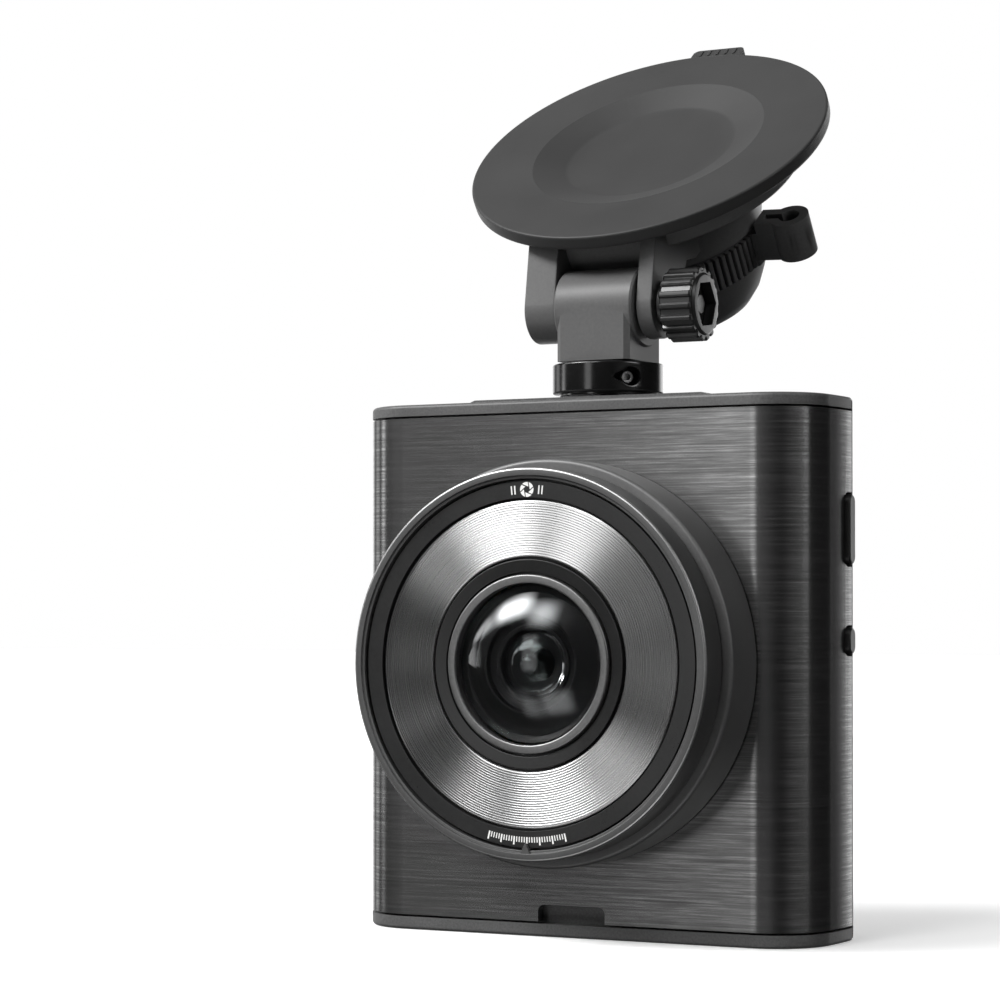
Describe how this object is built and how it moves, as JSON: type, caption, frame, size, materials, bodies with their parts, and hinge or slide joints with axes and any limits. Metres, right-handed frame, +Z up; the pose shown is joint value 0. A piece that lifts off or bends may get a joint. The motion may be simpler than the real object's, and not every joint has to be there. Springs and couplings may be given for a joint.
{
  "type": "dash camera",
  "caption": "Dash camera with a round lens barrel, rear screen and a tilting, swivelling suction-cup mount.",
  "frame": {"origin": "middle of the camera body's flat bottom face, under the swivel axis", "axes": "+Z up, lens looks along -Y, +X to the right as seen from the lens side"},
  "size_m": [0.0674, 0.0617, 0.1233],
  "materials": {
    "brushed_cover": "dark graphite, fine horizontal brushing",
    "cap_grey": "fine matte grain",
    "housing_grey": "fine matte grain",
    "panel_dark": "satin",
    "screen": "glossy display face",
    "button_black": "satin",
    "board_green": "solder mask",
    "steel": "plain zinc-plated",
    "battery_grey": "foil pouch",
    "barrel_black": "satin black",
    "spun_metal": "spun, concentric grooves",
    "retainer_grey": "satin grey anodised",
    "glass": "coated optical glass",
    "collar_black": "gloss",
    "mount_grey": "satin",
    "knob_black": "semi-gloss",
    "rubber": "matte"
  },
  "bodies": {
    "camera": {"front_cover": "brushed_cover", "top_cap": "cap_grey", "bottom_cap": "cap_grey", "rear_housing": "housing_grey", "back_panel": "panel_dark", "lcd_module": "screen", "button_board": "board_green", "side_switch_board": "board_green", "main_board": "board_green", "board_screw_1": "steel", "board_screw_2": "steel", "board_screw_3": "steel", "board_screw_4": "steel", "battery": "battery_grey", "speaker": "button_black", "usb_socket": "steel", "microsd_socket": "steel", "barrel_base_ring": "barrel_black", "barrel_front_ring": "barrel_black", "marking_ring": "barrel_black", "spun_dish_ring": "spun_metal", "lens_inner_ring": "barrel_black", "lens_retaining_ring": "retainer_grey", "front_lens": "glass", "lens_cell": "barrel_black", "second_lens": "glass", "aperture_ring": "barrel_black", "rear_lens": "glass", "lens_holder": "button_black", "image_sensor": "board_green"},
    "swivel_base": {"swivel_screw": "steel", "swivel_washer": "steel", "swivel_collar": "collar_black", "collar_set_screw": "steel", "mount_stem": "mount_grey"},
    "cup": {"cup_housing": "mount_grey", "suction_skirt": "rubber", "hinge_bolt": "steel"},
    "tilt_knob": {"tilt_knob": "knob_black", "hinge_nut": "steel"},
    "cup_lock": {"lock_knob": "mount_grey"},
    "plunger": {"pull_rod": "button_black", "cam_pin": "steel"},
    "power_key": {"power_button": "button_black"},
    "reset_key": {"reset_button": "button_black"},
    "menu_key_1": {"menu_button_1": "button_black"},
    "menu_key_2": {"menu_button_2": "button_black"},
    "menu_key_3": {"menu_button_3": "button_black"},
    "menu_key_4": {"menu_button_4": "button_black"}
  },
  "joints": [
    {"name": "swivel", "type": "hinge", "parent": "camera", "child": "swivel_base", "pos_m": [0, 0, 0.073], "axis": [0, 0, 1], "range_deg": [-180, 180]},
    {"name": "tilt", "type": "hinge", "parent": "swivel_base", "child": "cup", "pos_m": [0, 0, 0.0827], "axis": [1, 0, 0], "range_deg": [-25, 85]},
    {"name": "knob_turn", "type": "hinge", "parent": "cup", "child": "tilt_knob", "pos_m": [0, 0, 0.0827], "axis": [1, 0, 0], "continuous": true},
    {"name": "cup_lock_turn", "type": "hinge", "parent": "cup", "child": "cup_lock", "pos_m": [0, 0.01252, 0.1068], "axis": [0, -0.6088, 0.7934], "range_deg": [0, 90]},
    {"name": "plunger_pull", "type": "slide", "parent": "cup", "child": "plunger", "axis": [0, 0.6088, -0.7934], "range_m": [0, 0.002]},
    {"name": "power_press", "type": "slide", "parent": "camera", "child": "power_key", "axis": [-1, 0, 0], "range_m": [0, 0.0005], "stiffness_N_per_m": 300},
    {"name": "reset_press", "type": "slide", "parent": "camera", "child": "reset_key", "axis": [-1, 0, 0], "range_m": [0, 0.0005], "stiffness_N_per_m": 300},
    {"name": "menu_press_1", "type": "slide", "parent": "camera", "child": "menu_key_1", "axis": [0, -1, 0], "range_m": [0, 0.0005], "stiffness_N_per_m": 300},
    {"name": "menu_press_2", "type": "slide", "parent": "camera", "child": "menu_key_2", "axis": [0, -1, 0], "range_m": [0, 0.0005], "stiffness_N_per_m": 300},
    {"name": "menu_press_3", "type": "slide", "parent": "camera", "child": "menu_key_3", "axis": [0, -1, 0], "range_m": [0, 0.0005], "stiffness_N_per_m": 300},
    {"name": "menu_press_4", "type": "slide", "parent": "camera", "child": "menu_key_4", "axis": [0, -1, 0], "range_m": [0, 0.0005], "stiffness_N_per_m": 300}
  ],
  "couplings": [
    {"joint": "plunger_pull", "follows": "cup_lock_turn", "m_per_rad": 0.0012732}
  ]
}
